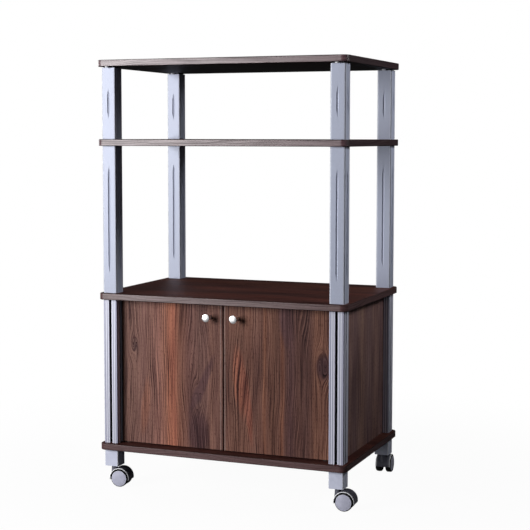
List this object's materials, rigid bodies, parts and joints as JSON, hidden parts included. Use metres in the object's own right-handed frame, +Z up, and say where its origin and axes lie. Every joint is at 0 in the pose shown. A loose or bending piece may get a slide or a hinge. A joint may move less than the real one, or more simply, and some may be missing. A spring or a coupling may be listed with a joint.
{
  "type": "mobile printer stand",
  "caption": "Rolling stand with a cabinet behind two hinged doors, a tall open printer bay, a low bay under the top board, square corner posts and twin-wheel casters.",
  "frame": {"origin": "on the floor under the middle of the boards", "axes": "+Z up; -Y towards the front, where the doors open; +X to the right seen from the front"},
  "size_m": [0.6277, 0.4072, 0.978],
  "materials": {
    "walnut_board": "semi-gloss walnut-print foil on particle board",
    "walnut_door": "satin walnut-print foil on particle board",
    "walnut_panel": "satin walnut-print foil on fibreboard",
    "silver_steel": "satin silver powder coat",
    "silver_extrusion": "satin silver coat",
    "silver_plastic": "silver moulded plastic",
    "black_plastic": "moulded",
    "white_nylon": "moulded",
    "brass": "plain",
    "zinc_steel": "zinc plated",
    "magnet": "plain ferrite",
    "bright_knob": "polished",
    "caster_housing": "silver moulded hood",
    "caster_wheel": "silver disc in a black tread"
  },
  "bodies": {
    "stand": {"top_board": "walnut_board", "upper_shelf": "walnut_board", "cabinet_top": "walnut_board", "cabinet_floor": "walnut_board", "top_post_front_left": "silver_steel", "top_post_front_right": "silver_steel", "top_post_back_left": "silver_steel", "top_post_back_right": "silver_steel", "middle_post_front_left": "silver_steel", "middle_post_front_right": "silver_steel", "middle_post_back_left": "silver_steel", "middle_post_back_right": "silver_steel", "lower_post_front_left": "silver_extrusion", "lower_post_front_right": "silver_extrusion", "lower_post_back_left": "silver_extrusion", "lower_post_back_right": "silver_extrusion", "leg_front_left": "silver_plastic", "leg_front_right": "silver_plastic", "leg_back_left": "silver_plastic", "leg_back_right": "silver_plastic", "left_side_panel": "walnut_panel", "right_side_panel": "walnut_panel", "back_panel": "walnut_panel", "top_board_inserts": "brass", "top_post_caps": "white_nylon", "top_studs": "zinc_steel", "post_plugs": "black_plastic", "joining_studs": "zinc_steel", "lower_post_inserts": "brass", "caster_sockets": "black_plastic", "caster_stems": "zinc_steel", "door_pivot_bushes": "black_plastic", "catch_housing": "black_plastic", "catch_magnets": "magnet"},
    "left_door": {"left_door": "walnut_door", "left_door_pins": "zinc_steel", "left_knob": "bright_knob", "left_knob_screw": "zinc_steel", "left_strike_plate": "zinc_steel"},
    "right_door": {"right_door": "walnut_door", "right_door_pins": "zinc_steel", "right_knob": "bright_knob", "right_knob_screw": "zinc_steel", "right_strike_plate": "zinc_steel"},
    "caster_front_left": {"caster_front_left_housing": "caster_housing", "caster_front_left_axle": "zinc_steel"},
    "front_left_outer_wheel": {"caster_front_left_outer_wheel": "caster_wheel"},
    "front_left_inner_wheel": {"caster_front_left_inner_wheel": "caster_wheel"},
    "caster_front_right": {"caster_front_right_housing": "caster_housing", "caster_front_right_axle": "zinc_steel"},
    "front_right_outer_wheel": {"caster_front_right_outer_wheel": "caster_wheel"},
    "front_right_inner_wheel": {"caster_front_right_inner_wheel": "caster_wheel"},
    "caster_back_left": {"caster_back_left_housing": "caster_housing", "caster_back_left_axle": "zinc_steel"},
    "back_left_outer_wheel": {"caster_back_left_outer_wheel": "caster_wheel"},
    "back_left_inner_wheel": {"caster_back_left_inner_wheel": "caster_wheel"},
    "caster_back_right": {"caster_back_right_housing": "caster_housing", "caster_back_right_axle": "zinc_steel"},
    "back_right_outer_wheel": {"caster_back_right_outer_wheel": "caster_wheel"},
    "back_right_inner_wheel": {"caster_back_right_inner_wheel": "caster_wheel"}
  },
  "joints": [
    {"name": "left_door_hinge", "type": "hinge", "parent": "stand", "child": "left_door", "pos_m": [-0.241, -0.158, 0.2685], "axis": [0, 0, -1], "range_deg": [0, 100]},
    {"name": "right_door_hinge", "type": "hinge", "parent": "stand", "child": "right_door", "pos_m": [0.241, -0.158, 0.2685], "axis": [0, 0, 1], "range_deg": [0, 100]},
    {"name": "caster_front_left_swivel", "type": "hinge", "parent": "stand", "child": "caster_front_left", "pos_m": [-0.273, -0.169, 0.044], "axis": [0, 0, 1], "continuous": true},
    {"name": "front_left_outer_wheel_spin", "type": "hinge", "parent": "caster_front_left", "child": "front_left_outer_wheel", "pos_m": [-0.25609, -0.16722, 0.02], "axis": [-0.1045, 0.9945, 0], "continuous": true},
    {"name": "front_left_inner_wheel_spin", "type": "hinge", "parent": "caster_front_left", "child": "front_left_inner_wheel", "pos_m": [-0.25609, -0.16722, 0.02], "axis": [-0.1045, 0.9945, 0], "continuous": true},
    {"name": "caster_front_right_swivel", "type": "hinge", "parent": "stand", "child": "caster_front_right", "pos_m": [0.273, -0.169, 0.044], "axis": [0, 0, 1], "continuous": true},
    {"name": "front_right_outer_wheel_spin", "type": "hinge", "parent": "caster_front_right", "child": "front_right_outer_wheel", "pos_m": [0.28998, -0.16811, 0.02], "axis": [-0.0523, 0.9986, 0], "continuous": true},
    {"name": "front_right_inner_wheel_spin", "type": "hinge", "parent": "caster_front_right", "child": "front_right_inner_wheel", "pos_m": [0.28998, -0.16811, 0.02], "axis": [-0.0523, 0.9986, 0], "continuous": true},
    {"name": "caster_back_left_swivel", "type": "hinge", "parent": "stand", "child": "caster_back_left", "pos_m": [-0.273, 0.169, 0.044], "axis": [0, 0, 1], "continuous": true},
    {"name": "back_left_outer_wheel_spin", "type": "hinge", "parent": "caster_back_left", "child": "back_left_outer_wheel", "pos_m": [-0.29, 0.169, 0.02], "axis": [0, -1, 0], "continuous": true},
    {"name": "back_left_inner_wheel_spin", "type": "hinge", "parent": "caster_back_left", "child": "back_left_inner_wheel", "pos_m": [-0.29, 0.169, 0.02], "axis": [0, -1, 0], "continuous": true},
    {"name": "caster_back_right_swivel", "type": "hinge", "parent": "stand", "child": "caster_back_right", "pos_m": [0.273, 0.169, 0.044], "axis": [0, 0, 1], "continuous": true},
    {"name": "back_right_outer_wheel_spin", "type": "hinge", "parent": "caster_back_right", "child": "back_right_outer_wheel", "pos_m": [0.27211, 0.18598, 0.02], "axis": [-0.9986, -0.0523, 0], "continuous": true},
    {"name": "back_right_inner_wheel_spin", "type": "hinge", "parent": "caster_back_right", "child": "back_right_inner_wheel", "pos_m": [0.27211, 0.18598, 0.02], "axis": [-0.9986, -0.0523, 0], "continuous": true}
  ]
}
